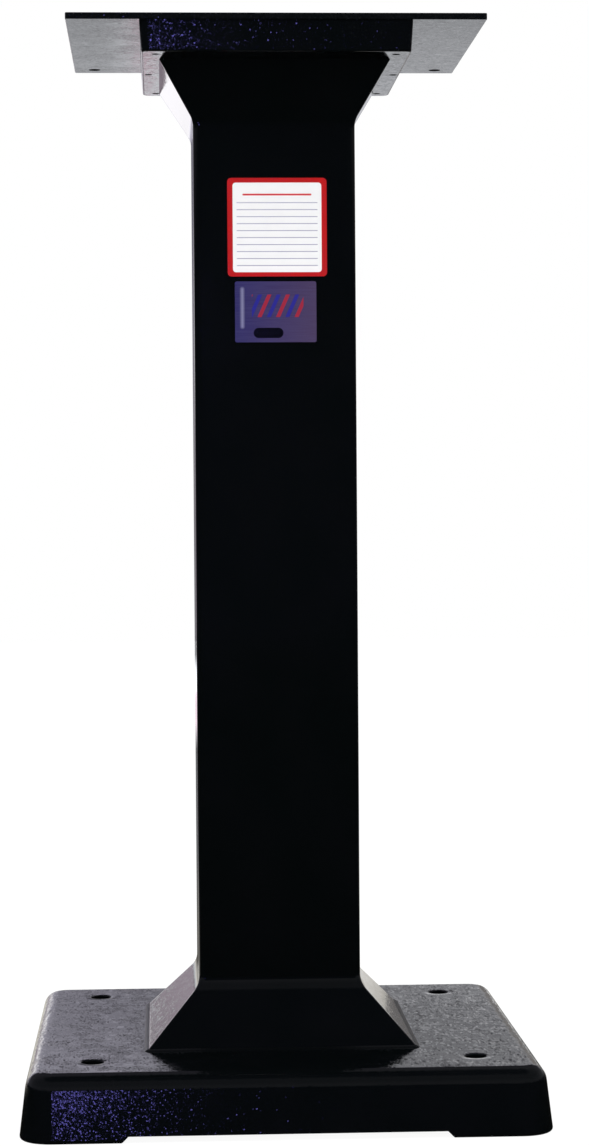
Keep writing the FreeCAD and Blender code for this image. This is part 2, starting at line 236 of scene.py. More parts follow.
print("a wire can:", ", ".join(name for name in vars(Wire) if not name.startswith("_")))

# %% [markdown]
# ## Helpers for materials
# Every finish is procedural. It reads the piece's own Object coordinates, which are metres
# in the stand's frame, so a grain of a millimetre is a noise of about a thousand to the
# metre and runs on unbroken from one piece to the next.

# %% Helpers for materials
class Finish(Tree):
    """A material with one shader, whose patterns are in metres."""

    def __init__(self, name):
        self.material = bpy.data.materials.new(name)
        self.material.use_nodes = True
        self.material.node_tree.nodes.clear()
        super().__init__(self.material.node_tree)
        self.place = self.node("ShaderNodeTexCoord", output="Object")

    def noise(self, grain, detail=2.0, stretch=(1, 1, 1), drift=(0, 0, 0)):
        """Cloudy values round 0.5, whose lumps are about one grain across."""
        where = self.node("ShaderNodeMapping", {}, {"Vector": self.place, "Scale": stretch,
                                                    "Location": drift})
        return self.node("ShaderNodeTexNoise", {}, {"Vector": where, "Scale": 1 / grain,
                                                    "Detail": detail})

    def bump(self, height, depth, normal=None):
        """Normals of a surface whose height, from 0 to 1, is worth a depth in metres."""
        under = {} if normal is None else {"Normal": normal}
        return self.node("ShaderNodeBump", {}, {"Strength": 1.0, "Distance": depth,
                                                "Height": height, **under})

    def surface(self, **sockets):
        """Finishes the material with a Principled shader. Names are written with underscores."""
        named = {name.replace("_", " "): value for name, value in sockets.items()}
        shader = self.node("ShaderNodeBsdfPrincipled", {}, named)
        self.node("ShaderNodeOutputMaterial", {"target": "ALL"}, {"Surface": shader})
        return self.material


def colour(red, green, blue):
    """A colour in a screen's 0 to 255 steps, turned into the shader's own numbers."""
    screen = [channel / 255 for channel in (red, green, blue)]
    return (*((s / 12.92 if s < 0.04045 else ((s + 0.055) / 1.055) ** 2.4) for s in screen), 1)


print("a screen's middle grey is", round(colour(128, 128, 128)[0], 3), "to a shader")

# %% [markdown]
# ## Black paint
# Cast iron keeps the grain of the sand it was poured in. Thick glossy enamel rounds that
# grain into small lumps. The paint is nearly black, so what shows is its gloss: dark seen
# square on, grey where the eye looks along it. Each lump mirrors a slightly different part of
# the room, which gives sparks round a lamp's reflection and mottles along the deck. A
# scattered cell pattern stands for the lumps. Every cell leans the surface by its own chance
# amount and lets go of it towards its rim. Level and upright faces have lumps of their own,
# because they were moulded and cleaned differently. Modelling each lump would take millions
# of faces, so they are drawn in the surface's normal.

# %% The lumps in the paint
even = (1, 1, 1)
long = (1, 0.3, 1)               # drawn out from front to back
Layer = namedtuple("Layer", "spacing lean share wear stretch", defaults=(0.0, even))
lump_rim = (0.42, 0.7)           # where a lump ends, in spacings from its middle
shuffle = 37                     # makes the pick of a cell independent of its lean


def lumps(paint, spacing, lean, share, stretch, drift):
    """A vector that leans the surface by chance inside a share of the cells, and where."""
    where = paint.node("ShaderNodeMapping", {}, {"Vector": paint.place, "Scale": stretch,
                                                 "Location": drift})
    cell = paint.node("ShaderNodeTexVoronoi", {}, {"Vector": where, "Scale": 1 / spacing},
                      output="Distance")
    chance = cell.also("Color")
    picked = (paint.axes(chance)[0] * shuffle).fraction().below(share)
    filled = picked * (1 - cell.ramp(*lump_rim))
    around = paint.vector("SUBTRACT", chance, (0.5, 0.5, 0.5))
    return paint.vector("SCALE", around, Scale=filled * lean * 2), filled


deck_lumps = (Layer(1.5 * mm, lean=0.044, share=0.7, wear=0.05, stretch=long),
              Layer(2.6 * mm, lean=0.030, share=0.5, wear=0.03, stretch=long),
              Layer(7.0 * mm, lean=0.016, share=1.0))
foot_sides = (Layer(0.9 * mm, lean=0.028, share=0.95), Layer(1.3 * mm, lean=0.060, share=0.15))
head_sides = (Layer(0.9 * mm, lean=0.024, share=0.95), Layer(1.1 * mm, lean=0.090, share=0.25))
rolled = (Layer(1.5 * mm, lean=0.022, share=0.7, wear=0.03), Layer(5.0 * mm, lean=0.010, share=1.0))
print("layers of lumps on the deck:", len(deck_lumps), "and on the foot's sides:", len(foot_sides))

# %% Make the black paints
rim_width = 6 * mm               # the paint thins this far round an anchor hole
rim_depth = 0.4 * mm
wave_size = 9 * mm               # slow waves, where the paint flowed before it dried
patch_size = 22 * mm             # thick and thin patches
cloud_size = 40 * mm             # slow changes of tone
paint_gloss = 0.25
paint_dark = (0.0012, 0.0020, 0.0023, 1)
paint_light = (0.0017, 0.0023, 0.0028, 1)


def sunk_rims(paint, mount):
    """How deep the surface sinks, in metres, towards the rims of a mount's holes."""
    holes = mount["dims"]
    x, y, _ = paint.axes(paint.place)
    off_x = x.size() - holes["spacing_x_mm"] / 2 * mm
    off_y = y.size() - holes["spacing_y_mm"] / 2 * mm
    radius = holes["hole_r_mm"] * mm
    near = 1 - (off_x * off_x + off_y * off_y).root().ramp(radius, radius + rim_width)
    return near * near * rim_depth


def black_paint(name, sheen, wave_depth, level=(), upright=(), patchy=0.0, mount=None):
    """Glossy enamel, with layers of lumps on its level faces and others on its upright ones."""
    paint = Finish(name)
    normal = paint.node("ShaderNodeNewGeometry", output="Normal")
    lying = paint.axes(normal)[2].size().ramp(0.45, 0.6)
    patch = paint.noise(patch_size, detail=3.0, drift=(1.7, 0.4, 3.1)).ramp(0.38, 0.62)
    thick = (1 - patchy) + 2 * patchy * patch
    worn = 0.0
    for number, layer in enumerate((*level, *upright)):
        flat = number < len(level)
        here = lying if flat else 1 - lying
        share = layer.share * thick if flat else layer.share
        leaning, filled = lumps(paint, layer.spacing, layer.lean * here, share,
                                layer.stretch, (number * 0.37, 0.21, 0.13))
        normal = paint.vector("ADD", normal, leaning)
        worn = filled * layer.wear * here + worn
    normal = paint.vector("NORMALIZE", normal)
    height = paint.noise(wave_size, detail=1.0) * wave_depth
    if mount:
        height = height - sunk_rims(paint, mount)
    cloud = paint.noise(cloud_size, detail=2.0, drift=(0.3, 5.2, 2.2))
    tone = paint.mix(cloud.ramp(0.35, 0.7), paint_dark, paint_light)
    rough = sheen + 0.02 * cloud + 0.08 * patchy * patch * lying + worn
    return paint.surface(Base_Color=tone, Roughness=rough, Specular_IOR_Level=paint_gloss,
                         Normal=paint.bump(height, 1.0, normal))


anchors = next(m for m in frame["record"]["mounts"] if m["name"] == "anchor_holes")
iron_paint = black_paint("iron_enamel", 0.06, 0.045 * mm, deck_lumps, foot_sides, patchy=0.8,
                         mount=anchors)
head_paint = black_paint("head_enamel", 0.07, 0.02 * mm, rolled, head_sides)
plate_paint = black_paint("plate_enamel", 0.09, 0.02 * mm, rolled, head_sides, patchy=0.5)
column_paint = black_paint("column_enamel", 0.05, 0.01 * mm, rolled)
weld_paint = black_paint("weld_enamel", 0.05, 0.02 * mm)
bead_paint = black_paint("bead_enamel", 0.35, 0.03 * mm)
for paint in (iron_paint, head_paint, plate_paint, column_paint, weld_paint, bead_paint):
    print(paint.name, "nodes:", len(paint.node_tree.nodes))

# %% [markdown]
# ## Bare and primed steel
# The bolts and washers are zinc plated, the plate's screws are black oxide, and the flanges
# inside the column only have primer. A metal's colour is the colour of its reflection, so
# each finish gets a slow cloud of tone and roughness and a fine grain, and the room does the
# rest.

# %% Make the steel finishes
def zinc_plate():
    """Bright zinc: a cool and a warm grey in slow clouds."""
    zinc = Finish("zinc_coat")
    cloud = zinc.noise(4 * mm, detail=3.0)
    grain = zinc.noise(0.5 * mm, detail=1.0)
    tone = zinc.mix(cloud.ramp(0.3, 0.7), (0.50, 0.52, 0.55, 1), (0.62, 0.61, 0.57, 1))
    return zinc.surface(Base_Color=tone, Metallic=1.0, Roughness=0.24 + 0.16 * cloud,
                        Normal=zinc.bump(grain, 0.01 * mm))


def black_oxide():
    """Oiled black steel, a little browner where it has worn."""
    oxide = Finish("black_oxide")
    cloud = oxide.noise(2.5 * mm, detail=3.0)
    grain = oxide.noise(0.4 * mm, detail=1.0)
    tone = oxide.mix(cloud.ramp(0.35, 0.7), (0.035, 0.035, 0.04, 1), (0.075, 0.07, 0.066, 1))
    return oxide.surface(Base_Color=tone, Metallic=0.9, Roughness=0.34 + 0.14 * cloud,
                         Normal=oxide.bump(grain, 0.008 * mm))


def primed_steel():
    """Thin dull primer, which hides the metal's shine."""
    primer = Finish("primed_steel")
    cloud = primer.noise(18 * mm, detail=4.0)
    grain = primer.noise(0.7 * mm, detail=2.0)
    tone = primer.mix(cloud.ramp(0.3, 0.7), (0.022, 0.022, 0.024, 1), (0.042, 0.038, 0.035, 1))
    return primer.surface(Base_Color=tone, Roughness=0.55 + 0.2 * cloud,
                          Normal=primer.bump(grain, 0.03 * mm))


zinc = zinc_plate()
oxide = black_oxide()
primer = primed_steel()
for steel in (zinc, oxide, primer):
    print(steel.name, "nodes:", len(steel.node_tree.nodes))

# %% [markdown]
# ## The two plates on the column's front
# A white vinyl card with a red border is ruled like a record card and left blank. Below it
# sits a thin foil plate with a brushed grain, a dark oval window and a row of plain slanted
# bars. Both could be pictures laid on with UV maps, but a picture blurs up close. Here both
# patterns are worked out from distances on the plate, so their edges stay sharp.

# %% Windows on a plate
class Print(Finish):
    """A finish printed on a plate that faces the front, with patterns in X and Z."""

    def __init__(self, name, node):
        super().__init__(name)
        low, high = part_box(node)
        x, _, z = self.axes(self.place)
        self.half_width = (high.x - low.x) / 2
        self.half_height = (high.z - low.z) / 2
        self.right = x - (low.x + high.x) / 2
        self.over = z - (low.z + high.z) / 2

    def window(self, half_width, half_height, radius, right=0.0, over=0.0, blur=0.12 * mm):
        """1 inside a rectangle with round corners, 0 outside it."""
        beside = ((self.right - right).size() - (half_width - radius)).at_least(0.0)
        above = ((self.over - over).size() - (half_height - radius)).at_least(0.0)
        reach = (beside * beside + above * above).root()
        return 1 - reach.ramp(radius - blur, radius + blur)


for node in ("notice_card", "foil_plate"):
    low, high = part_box(node)
    print(node, round((high.x - low.x) / mm, 1), "by", round((high.z - low.z) / mm, 1), "mm")

# %% The card's print
side_border = 4.0 * mm
end_border = 3.4 * mm
rule_pitch = 5.25 * mm
rule_half = 0.05                 # half a rule's thickness, as a share of the pitch


def card_vinyl():
    """White vinyl with a red border, one red rule at the top and grey rules below it."""
    card = Print("card_print", "notice_card")
    field = card.window(card.half_width - side_border, card.half_height - end_border, 2.4 * mm,
                        over=-0.2 * mm)
    rule = ((card.over / rule_pitch).fraction() - 0.5).size().below(rule_half)
    ruled = rule * card.window(30.5 * mm, 26.0 * mm, 0.2 * mm, over=-5.0 * mm)
    heading = card.window(26.0 * mm, 0.7 * mm, 0.6 * mm, over=24.5 * mm)
    cloud = card.noise(14 * mm, detail=2.0)
    red = card.mix(cloud, colour(192, 12, 12), colour(176, 18, 18))
    white = card.mix(cloud, colour(248, 248, 248), colour(241, 241, 243))
    tone = card.mix(ruled, white, colour(150, 145, 178))
    tone = card.mix(heading, tone, colour(212, 60, 70))
    tone = card.mix(field, red, tone)
    grain = card.noise(0.9 * mm, detail=1.0)
    return card.surface(Base_Color=tone, Roughness=0.3 + 0.1 * grain, Specular_IOR_Level=0.3,
                        Normal=card.bump(grain, 0.004 * mm))


vinyl = card_vinyl()
print(vinyl.name, "nodes:", len(vinyl.node_tree.nodes))

# %% The foil's print
bar_pitch = 7.0 * mm
bar_slope = 0.45                 # sideways for each millimetre up
bar_edges = (0.28, 0.72)         # where a bar starts and ends, as shares of the pitch
oval_half_width = 11.3 * mm
oval_half_height = 3.9 * mm


def foil_film():
    """Brushed foil with bars in two colours in turn, a painted highlight and a dark oval."""
    foil = Print("foil_print", "foil_plate")
    brushed = foil.noise(0.5 * mm, detail=2.0, stretch=(0.03, 1, 1))
    cloud = foil.noise(9 * mm, detail=2.0)
    across = foil.right.ramp(-foil.half_width, foil.half_width)
    tone = foil.mix(across, colour(42, 38, 101), colour(75, 59, 94))
    tone = foil.mix(brushed.ramp(0.3, 0.75) * 0.3, tone, colour(92, 88, 132))
    # A painted highlight: a soft light streak near the foil's left end, drawn into its colour.
    painted_highlight = foil.window(0.9 * mm, 15 * mm, 0.9 * mm, right=-25.2 * mm, over=3.0 * mm,
                        blur=1.2 * mm)
    tone = foil.mix(painted_highlight * 0.5, tone, colour(190, 190, 225))
    slant = foil.right - foil.over * bar_slope
    across_bar = (slant / bar_pitch).fraction()
    bar = across_bar.above(bar_edges[0]) * across_bar.below(bar_edges[1])
    row = foil.window(19.5 * mm, 8.5 * mm, 0.3 * mm, right=1.5 * mm, over=4.5 * mm)
    warm = (slant / (2 * bar_pitch)).fraction().below(0.5)
    ink = foil.mix(warm, colour(36, 36, 150), colour(170, 34, 56))
    tone = foil.mix(bar * row * 0.9, tone, ink)
    oval = foil.window(oval_half_width, oval_half_height, oval_half_height,
                       right=-5.55 * mm, over=-15.9 * mm)
    tone = foil.mix(oval, tone, colour(2, 3, 5))
    height = brushed * 0.15 + cloud * 0.4 - oval
    rough = 0.42 + 0.2 * brushed - 0.36 * oval
    return foil.surface(Base_Color=tone, Metallic=0.15 * (1 - oval), Roughness=rough,
                        Specular_IOR_Level=0.3, Normal=foil.bump(height, 0.03 * mm))


foil = foil_film()
print(foil.name, "nodes:", len(foil.node_tree.nodes))

# %% [markdown]
# ## Pieces that keep their modelled shape
# The castings, the mounting plate, the flanges and the two labels are already right in the
# frame: their edges are rounded and their holes are cut there. Making them again would only
# add mistakes, so they just get their finish, in the slot that each already has.

# %% Dress the pieces that keep their modelled shape
for node, finish in (("base_casting", iron_paint), ("head_casting", head_paint),
                     ("top_plate", plate_paint), ("foot_flange", primer),
                     ("head_flange", primer), ("foot_flange_weld", primer),
                     ("head_flange_weld", primer), ("notice_card", vinyl),
                     ("foil_plate", foil)):
    frame["nodes"][node].data.materials[0] = finish
    print(node, "->", finish.name)

# %% [markdown]
# ## Growing a shape from a geometry tree
# A rule is easier to trust than a vertex placed by hand. The column is one rule all the way up,
# the bead follows the flare's foot, and the fasteners repeat. Each of these is a geometry
# tree with named inputs. `Shape` starts such a tree, and `grow` runs it with its sizes,
# keeps the result as a plain mesh and takes the modifier away again. Most shapes here are a
# grid of points that a rule moves into place, row by row, like the ribs under a boat's skin.

# %% A geometry tree with named sizes
seam = 2e-6                      # points closer than this, in metres, become one
nudge = 0.001                    # keeps a row's number from being rounded down by one


class Shape(Tree):
    """A geometry tree with named inputs. Its last input is the finish."""

    def __init__(self, name, **inputs):
        super().__init__(bpy.data.node_groups.new(name, "GeometryNodeTree"))
        face = self.tree.interface
        face.new_socket("Mesh", in_out="OUTPUT", socket_type="NodeSocketGeometry")
        for label, kind in {**inputs, "Finish": "Material"}.items():
            face.new_socket(label.replace("_", " "), in_out="INPUT",
                            socket_type="NodeSocket" + kind)
        self.entry = self.node("NodeGroupInput")

    def given(self, label):
        return self.entry.also(label)

    def end(self, mesh):
        """Closes the tree: plain geometry, with the finish on it."""
        real = self.node("GeometryNodeRealizeInstances", {}, {0: mesh})
        dressed = self.node("GeometryNodeSetMaterial", {}, {"Geometry": real,
                                                            "Material": self.given("Finish")})
        self.node("NodeGroupOutput", {}, {"Mesh": dressed})

    def loft(self, rows, columns, place):
        """A skin of rows and columns. place(row, column) gives where each of its points lies."""
        grid = self.node("GeometryNodeMeshGrid", {}, {"Vertices X": rows, "Vertices Y": columns})
        index = self.node("GeometryNodeInputIndex")
        row = (index / columns + nudge).whole()
        column = index - row * columns
        moved = self.node("GeometryNodeSetPosition", {}, {"Geometry": grid,
                                                          "Position": place(row, column)})
        return self.node("GeometryNodeMergeByDistance", {}, {"Geometry": moved,
                                                             "Distance": seam / 2})


print("a shape can also:", ", ".join(name for name in vars(Shape) if not name.startswith("_")))

# %% From a tree to a plain mesh
sharp_turn = 32                  # degrees between two faces that leave a sharp edge


def tidy_mesh(mesh):
    """Closes seams, turns the faces outwards and shades what is round as round."""
    work = bmesh.new()
    work.from_mesh(mesh)
    bmesh.ops.remove_doubles(work, verts=work.verts, dist=seam)
    bmesh.ops.dissolve_degenerate(work, edges=work.edges, dist=seam)
    bmesh.ops.recalc_face_normals(work, faces=work.faces)
    open_edges = sum(not edge.is_manifold for edge in work.edges)
    work.to_mesh(mesh)
    work.free()
    mesh.shade_smooth()
    mesh.set_sharp_from_angle(angle=math.radians(sharp_turn))
    return open_edges


def run(shape, name, **values):
    """Runs a geometry tree on a new object and keeps the result as a plain mesh."""
    piece = bpy.data.objects.new(name, bpy.data.meshes.new(name))
    scene.collection.objects.link(piece)
    modifier = piece.modifiers.new("shape", "NODES")
    modifier.node_group = shape.tree
    for item in shape.tree.interface.items_tree:
        if item.in_out == "INPUT":
            modifier[item.identifier] = values[item.name.replace(" ", "_")]
    graph = bpy.context.evaluated_depsgraph_get()
    mesh = bpy.data.meshes.new_from_object(piece.evaluated_get(graph), depsgraph=graph)
    piece.modifiers.remove(modifier)
    piece.data = mesh
    mesh.name = name
    open_edges = tidy_mesh(mesh)
    print(name, "faces:", len(mesh.polygons), "open edges:", open_edges)
    return piece


def grow(shape, name, node, **values):
    """Lets what a geometry tree makes stand for a node of the frame."""
    piece = run(shape, name, **values)
    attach(piece, "root")
    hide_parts(node)
    return piece


# %% [markdown]
# ## The column
# Each side of the column is a steel plate bent twice, so that it opens into a flare at the
# foot and at the head. Seen from above, every level of it is a square, and one rule gives
# that square's size: half the column's width, plus what the flares add. A flare leaves the
# straight part on an arc and then runs on straight. The plate's inside follows the same
# rule with a larger arc, because both arcs share a centre. Four plates bent by hand would
# look alike, but their edges would have to be kept in step. With a rule they always are.

# %% Sizes of the column
plate_low, plate_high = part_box("column_front_plate")
_, card_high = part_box("notice_card")
foot_level = plate_low.z
head_level = plate_high.z
foot_half = -plate_low.y
column_half = -card_high.y
wall = column_half + plate_high.y
groove = foot_half - plate_high.x
head_half = max(abs(v.co.x) for v in frame["nodes"]["column_front_plate"].data.vertices
                if v.co.z > head_level - mm) + groove
lower_flare_height = 42.4 * mm
upper_flare_height = 41.6 * mm
flare_zone = 62 * mm             # from either end, holds the flare and its bend
bend_radius = 16 * mm
column_round = 5 * mm            # ground round on the corner welds
flare_round = 1.5 * mm           # and what it narrows to on the flares
print("column half:", round(column_half, 5), "wall:", round(wall, 5))
print("half across the flare's foot:", round(foot_half, 5), "and at the head:", round(head_half, 5))

# %% The column's rule as a node group
def flare_rule():
    """How far a side lies from the axis, and how far through the bends a level is."""
    rule = Tree(bpy.data.node_groups.new("flare_rule", "GeometryNodeTree"))
    for label in ("Half", "Past Bend"):
        rule.tree.interface.new_socket(label, in_out="OUTPUT", socket_type="NodeSocketFloat")
    for label in ("Level", "Straight Half", "Depth"):
        rule.tree.interface.new_socket(label, in_out="INPUT", socket_type="NodeSocketFloat")
    entry = rule.node("NodeGroupInput")
    radius = bend_radius + entry.also("Depth")
    half = entry.also("Straight Half") - entry.also("Depth")
    past_bend = 0.0
    for end_level, reach, height, way in (
            (foot_level, foot_half - column_half, lower_flare_height, -1),
            (head_level, head_half - column_half, upper_flare_height, 1)):
        lean = math.atan2(reach, height)
        tangent_level = end_level - way * (height + bend_radius * math.tan(lean / 2))
        past = ((entry.also("Level") - tangent_level) * way).at_least(0.0)
        bend = radius * math.sin(lean)
        on_arc = past.at_most(bend)
        half = half + radius - (radius * radius - on_arc * on_arc).root()
        half = half + (past - bend).at_least(0.0) * math.tan(lean)
        past_bend = past_bend + (past / bend).at_most(1.0)
    rule.node("NodeGroupOutput", {}, {"Half": half, "Past Bend": past_bend})
    return rule.tree


flare_tree = flare_rule()
print("nodes in the column's rule:", len(flare_tree.nodes))

# %% Where the column's rows lie
column_rows = 110
flare_rows = 0.46                # the share of the rows over each flare


def level_of(shape, row):
    """Rows lie close together over both flares and far apart on the straight part."""
    share = (row - 1).at_least(0.0).at_most(column_rows - 3) / (column_rows - 3)
    zone = shape.given("Flare Zone")
    straight = shape.given("Top") - shape.given("Bottom") - zone * 2
    return (shape.given("Bottom") + zone * share.ramp(0.0, flare_rows)
            + straight * share.ramp(flare_rows, 1 - flare_rows)
            + zone * share.ramp(1 - flare_rows, 1.0))


def half_at(shape, level, depth):
    """How far a side lies from the axis at a level, or a depth under its surface."""
    return shape.node("GeometryNodeGroup", {"node_tree": flare_tree},
                      {"Level": level, "Straight Half": shape.given("Straight Half"),
                       "Depth": depth}, output="Half")


print("rows:", column_rows, "of which over each flare:", round(column_rows * flare_rows))

# %% The four bent side plates
def bent_plate():
    """A side plate: a strip between two grooves, with an outside and an inside.

    All points of the first row lie together, and so do those of the last: they close the ends.
    """
    shape = Shape("bent_plate", Bottom="Float", Top="Float", Flare_Zone="Float",
                  Straight_Half="Float", Wall="Float", Groove="Float", Turn="Float")

    def place(row, column):
        level = level_of(shape, row)
        inner = column.above(1.5) * column.below(3.5)
        outside = half_at(shape, level, 0.0)
        inside = half_at(shape, level, shape.given("Wall"))
        across = outside + (inside - outside) * inner
        side = column.above(0.5) * column.below(2.5) * 2 - 1
        closing = row.below(0.5) + row.above(column_rows - 1.5)
        middle = (outside + inside) / 2
        x = across + (middle - across) * closing
        y = side * (across - shape.given("Groove")) * (1 - closing)
        return shape.point(x, y, level)

    skin = shape.loft(column_rows, 5, place)
    turn = shape.point(0.0, 0.0, shape.given("Turn"))
    shape.end(shape.node("GeometryNodeTransform", {}, {"Geometry": skin, "Rotation": turn}))
    return shape


bent_plate_tree = bent_plate()
column_sizes = {"Bottom": foot_level, "Top": head_level, "Flare_Zone": flare_zone,
                "Straight_Half": column_half, "Wall": wall, "Groove": groove}
for quarter, side in enumerate(("right", "back", "left", "front")):
    grow(bent_plate_tree, f"column_{side}_side", f"column_{side}_plate",
         Turn=quarter * math.pi / 2, Finish=column_paint, **column_sizes)

# %% [markdown]
# ## The column's corner welds
# The plates stop short of the corners, and weld metal fills the gap. It is ground round
# outside: full size along the column, small on the flares. The section at a level is a
# closed line of a few points: the arc, two flat sides against the plates, and the inner
# corner. A bevel on one solid column would round its corners too, but not less and less
# through a bend. One corner is lofted and three more are turned from it.

# %% Corner welds
arc_steps = 9


def corner_weld():
    """Four corner welds, each a closed line through the arc and the inner corner.

    All points of the first row lie together, and so do those of the last: they close the ends.
    """
    shape = Shape("corner_weld", Bottom="Float", Top="Float", Flare_Zone="Float",
                  Straight_Half="Float", Wall="Float", Groove="Float", Round="Float",
                  Flare_Round="Float")

    def place(row, column):
        level = level_of(shape, row)
        outside = half_at(shape, level, 0.0)
        past_bend = outside.also("Past Bend")
        inside = half_at(shape, level, shape.given("Wall"))
        groove_width = shape.given("Groove")
        round_here = shape.given("Round") + (shape.given("Flare Round")
                                             - shape.given("Round")) * past_bend
        column = column * column.below(arc_steps + 4.5)
        angle = column.ramp(1.0, arc_steps) * (math.pi / 2)
        spare = groove_width - round_here
        x_out = outside - round_here * (1 - angle.cosine()) - spare * column.above(arc_steps + 0.5)
        y_out = outside - round_here * (1 - angle.sine()) - spare * column.below(0.5)
        inner = column.above(arc_steps + 1.5)
        x_in = inside - groove_width * column.below(arc_steps + 2.5)
        y_in = inside - groove_width * column.above(arc_steps + 3.5)
        closing = row.below(0.5) + row.above(column_rows - 1.5)
        middle = (outside + inside) / 2 - round_here * 0.2
        x = x_out + (x_in - x_out) * inner
        y = y_out + (y_in - y_out) * inner
        return shape.point(x + (middle - x) * closing, y + (middle - y) * closing, level)

    skin = shape.loft(column_rows, arc_steps + 6, place)
    points = shape.node("GeometryNodePoints", {}, {"Count": 4})
    quarter = shape.node("GeometryNodeInputIndex") * (math.pi / 2)
    turned = shape.node("GeometryNodeInstanceOnPoints", {},
                        {"Points": points, "Instance": skin,
                         "Rotation": shape.point(0.0, 0.0, quarter)})
    shape.end(turned)
    return shape


grow(corner_weld(), "column_corners", "column_corner_welds", Round=column_round,
     Flare_Round=flare_round, Finish=weld_paint, **column_sizes)

# %% [markdown]
# ## The bead at the flare's foot
# A small weld bead runs round the flare where it stands on the foot. A hand-laid bead is a
# row of overlapping drops, so its leg and height swell and shrink a little along the way. A
# curve with a round section would be the same all the way, so here the tree walks a rounded
# square path and stands a small bulging section on it at each step.

# %% Bead
bead_rows = 1200
bead_columns = 8
bead_drops = 237
corner_points = 6
drop_swell = 0.14                # of the leg and the height, from one drop to the next
hand_swell = 0.08                # and by the unsteady hand
hand_waves = 90.0                # of its unsteadiness to the metre
bead_bulge = 0.08                # of the leg and the height, in the middle of the section


def weld_bead():
    """A bead along a rounded square, with a straight side on the foot and one on the flare."""
    shape = Shape("weld_bead", Half="Float", Corner="Float", Leg="Float", Height="Float",
                  Lean="Float", Level="Float", Drops="Float")
    width = shape.given("Half") * 2
    square = shape.node("GeometryNodeCurvePrimitiveQuadrilateral", {},
                        {"Width": width, "Height": width})
    path = shape.node("GeometryNodeFilletCurve", {"mode": "POLY"},
                      {"Curve": square, "Count": corner_points,
                       "Radius": shape.given("Corner")})

    def place(row, column):
        share = row / (bead_rows - 1)
        spot = shape.node("GeometryNodeSampleCurve", {"mode": "FACTOR"},
                          {"Curves": path, "Factor": share}, output="Position")
        outward = shape.vector("CROSS_PRODUCT", spot.also("Tangent"), (0, 0, 1))
        cloud = shape.node("ShaderNodeTexNoise", {}, {"Vector": spot, "Scale": hand_waves})
        drop = (share * shape.given("Drops") * math.pi).sine().size()
        swell = (1 - drop_swell - hand_swell) + drop_swell * drop + hand_swell * cloud
        rise = (column - 1).at_least(0.0) / (bead_columns - 3)
        rise = rise * column.below(bead_columns - 1.5)
        bulge = (rise * math.pi).sine() * bead_bulge
        leg = shape.given("Leg") * swell
        height = shape.given("Height") * swell
        lean = shape.given("Lean")
        out = (leg * (1 - rise + bulge) * column.above(0.5) * column.below(bead_columns - 1.5)
               - height * lean * rise)
        up = height * (rise + bulge) + shape.given("Level")
        moved = shape.vector("SCALE", outward, Scale=out)
        lifted = shape.vector("ADD", moved, shape.point(0.0, 0.0, up))
        return shape.vector("ADD", spot, lifted)

    shape.end(shape.loft(bead_rows, bead_columns, place))
    return shape


bead_low, bead_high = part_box("foot_bead")
bead = grow(weld_bead(), "flare_bead", "foot_bead", Half=foot_half, Corner=flare_round,
            Leg=bead_high.x - foot_half, Height=bead_high.z - bead_low.z, Level=bead_low.z,
            Lean=(foot_half - column_half) / lower_flare_height, Drops=float(bead_drops),
            Finish=bead_paint)
print("bead half:", round(max(v.co.x for v in bead.data.vertices), 5))

# %% [markdown]
# ## Bolts, washers and screws
# Each fastener is turned round its own axis: rings of points from one end to the other, each
# with its own radius and height. A hexagon is a ring whose radius follows the angle, and
# where a cone cuts it the familiar scalloped chamfer appears by itself. A thread is a ring
# whose radius follows the angle and the height together. Cutting threads and hexagons out of
# cylinders with Booleans would be slower and leave untidy faces.

# %% Rules for turned pieces
ring_points = 48                 # points in each ring
thread_depth = 0.6               # as a share of the pitch
crest = 0.1                      # the flat at a thread's crest and root, as a share of its depth
run_in = 0.04                    # the share of a thread over which it starts


def steps(row, values):
    """The value that belongs to a row: the first for row 0, the second for row 1, and so on."""
    total = values[0]
    for step in range(1, len(values)):
        total = total + row.above(step - 0.5) * (values[step] - values[step - 1])
    return total


def hexagon(angle, half_flats):
    """How far a hexagon's side lies from its middle, looking along an angle."""
    off_middle = (angle / (math.pi / 3)).fraction() * (math.pi / 3) - math.pi / 6
    return half_flats / off_middle.cosine()


def threaded(shape, row, column, first, last, start, end):
    """The height and the radius of a thread's rings, from row first to row last."""
    share = row.ramp(first, last)
    along = start + (end - start) * share
    pitch = shape.given("Pitch")
    turn = (along / pitch - column / ring_points).fraction()
    depth = ((turn - 0.5).size() * 2).at_least(crest).at_most(1 - crest) - crest
    cut = pitch * thread_depth * depth * share.ramp(0.0, run_in)
    return along, shape.given("Shank") / 2 - cut


print("points in a ring:", ring_points)

# %% A hexagon bolt
bolt_rows = 92
face_share = 0.475               # a bolt's round face, half across, by its width over flats
plain_share = 0.2                # of the shank, under the head, without a thread
washer_face = 0.5 * mm           # how far the round face under the head stands out
chamfer_slope = math.tan(math.radians(30))


